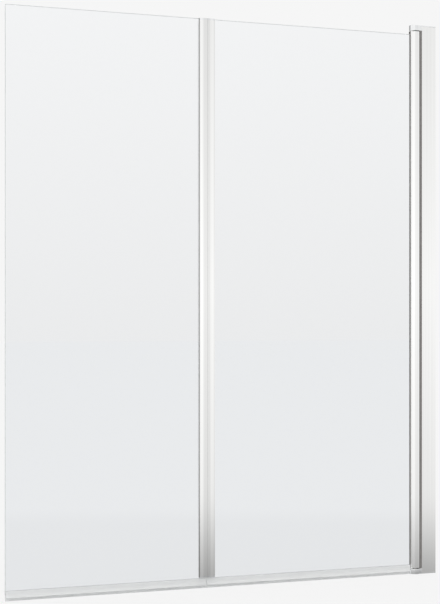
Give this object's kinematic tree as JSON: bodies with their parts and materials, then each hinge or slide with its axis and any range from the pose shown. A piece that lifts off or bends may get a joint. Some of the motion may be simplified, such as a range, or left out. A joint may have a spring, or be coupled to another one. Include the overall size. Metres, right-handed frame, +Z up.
{
  "type": "folding bath screen",
  "caption": "Frameless glass bath screen that swings on a pivot tube beside a wall post and folds flat about a middle hinge, with clear seals under the glass.",
  "frame": {"origin": "where the wall face, the bath rim and the mid-plane of the open screen meet, at the foot of the wall post", "axes": "+X out of the wall face into the wall, so the screen reaches to -X; +Z up the wall; +Y is the side that the outer panel folds to, and -Y the flat front shown in the picture"},
  "size_m": [1.14, 0.0307, 1.4],
  "materials": {
    "polished_aluminium": "polished and bright",
    "chromed_cap": "chromed, smooth",
    "stainless_steel": "bright",
    "dark_rubber": "matt",
    "nylon": "smooth",
    "toughened_glass": "clear, polished edges",
    "clear_pvc": "clear, soft gloss"
  },
  "bodies": {
    "wall_side": {"wall_channel": "polished_aluminium", "post_profile": "polished_aluminium", "gap_seal": "dark_rubber", "top_bearing_cap": "chromed_cap", "bottom_bearing_cap": "chromed_cap", "bearing_cap_screws": "stainless_steel", "top_pivot_pin": "stainless_steel", "bottom_pivot_pin": "stainless_steel", "thrust_washers": "nylon", "adjusting_screws": "stainless_steel", "adjusting_nuts": "stainless_steel", "cover_washers": "nylon", "screw_covers": "chromed_cap"},
    "inner_panel": {"pivot_tube": "polished_aluminium", "tube_top_bush": "nylon", "tube_bottom_bush": "nylon", "tube_gasket": "dark_rubber", "inner_glass": "toughened_glass", "inner_seal": "clear_pvc", "inner_fold_profile": "polished_aluminium", "inner_fold_gasket": "dark_rubber", "inner_fold_top_cap": "chromed_cap", "inner_fold_bottom_cap": "chromed_cap", "inner_fold_screws": "stainless_steel", "fold_top_bush": "nylon", "fold_bottom_bush": "nylon"},
    "outer_panel": {"outer_fold_profile": "polished_aluminium", "outer_fold_gasket": "dark_rubber", "outer_fold_top_cap": "chromed_cap", "outer_fold_bottom_cap": "chromed_cap", "outer_fold_screws": "stainless_steel", "fold_top_pin": "stainless_steel", "fold_bottom_pin": "stainless_steel", "outer_glass": "toughened_glass", "outer_seal": "clear_pvc"}
  },
  "joints": [
    {"name": "panel_swing", "type": "hinge", "parent": "wall_side", "child": "inner_panel", "pos_m": [-0.0561, 0, 0.7], "axis": [0, 0, 1], "range_deg": [-90, 90]},
    {"name": "panel_fold", "type": "hinge", "parent": "inner_panel", "child": "outer_panel", "pos_m": [-0.6364, 0.0074, 0.7], "axis": [0, 0, -1], "range_deg": [0, 180]}
  ]
}
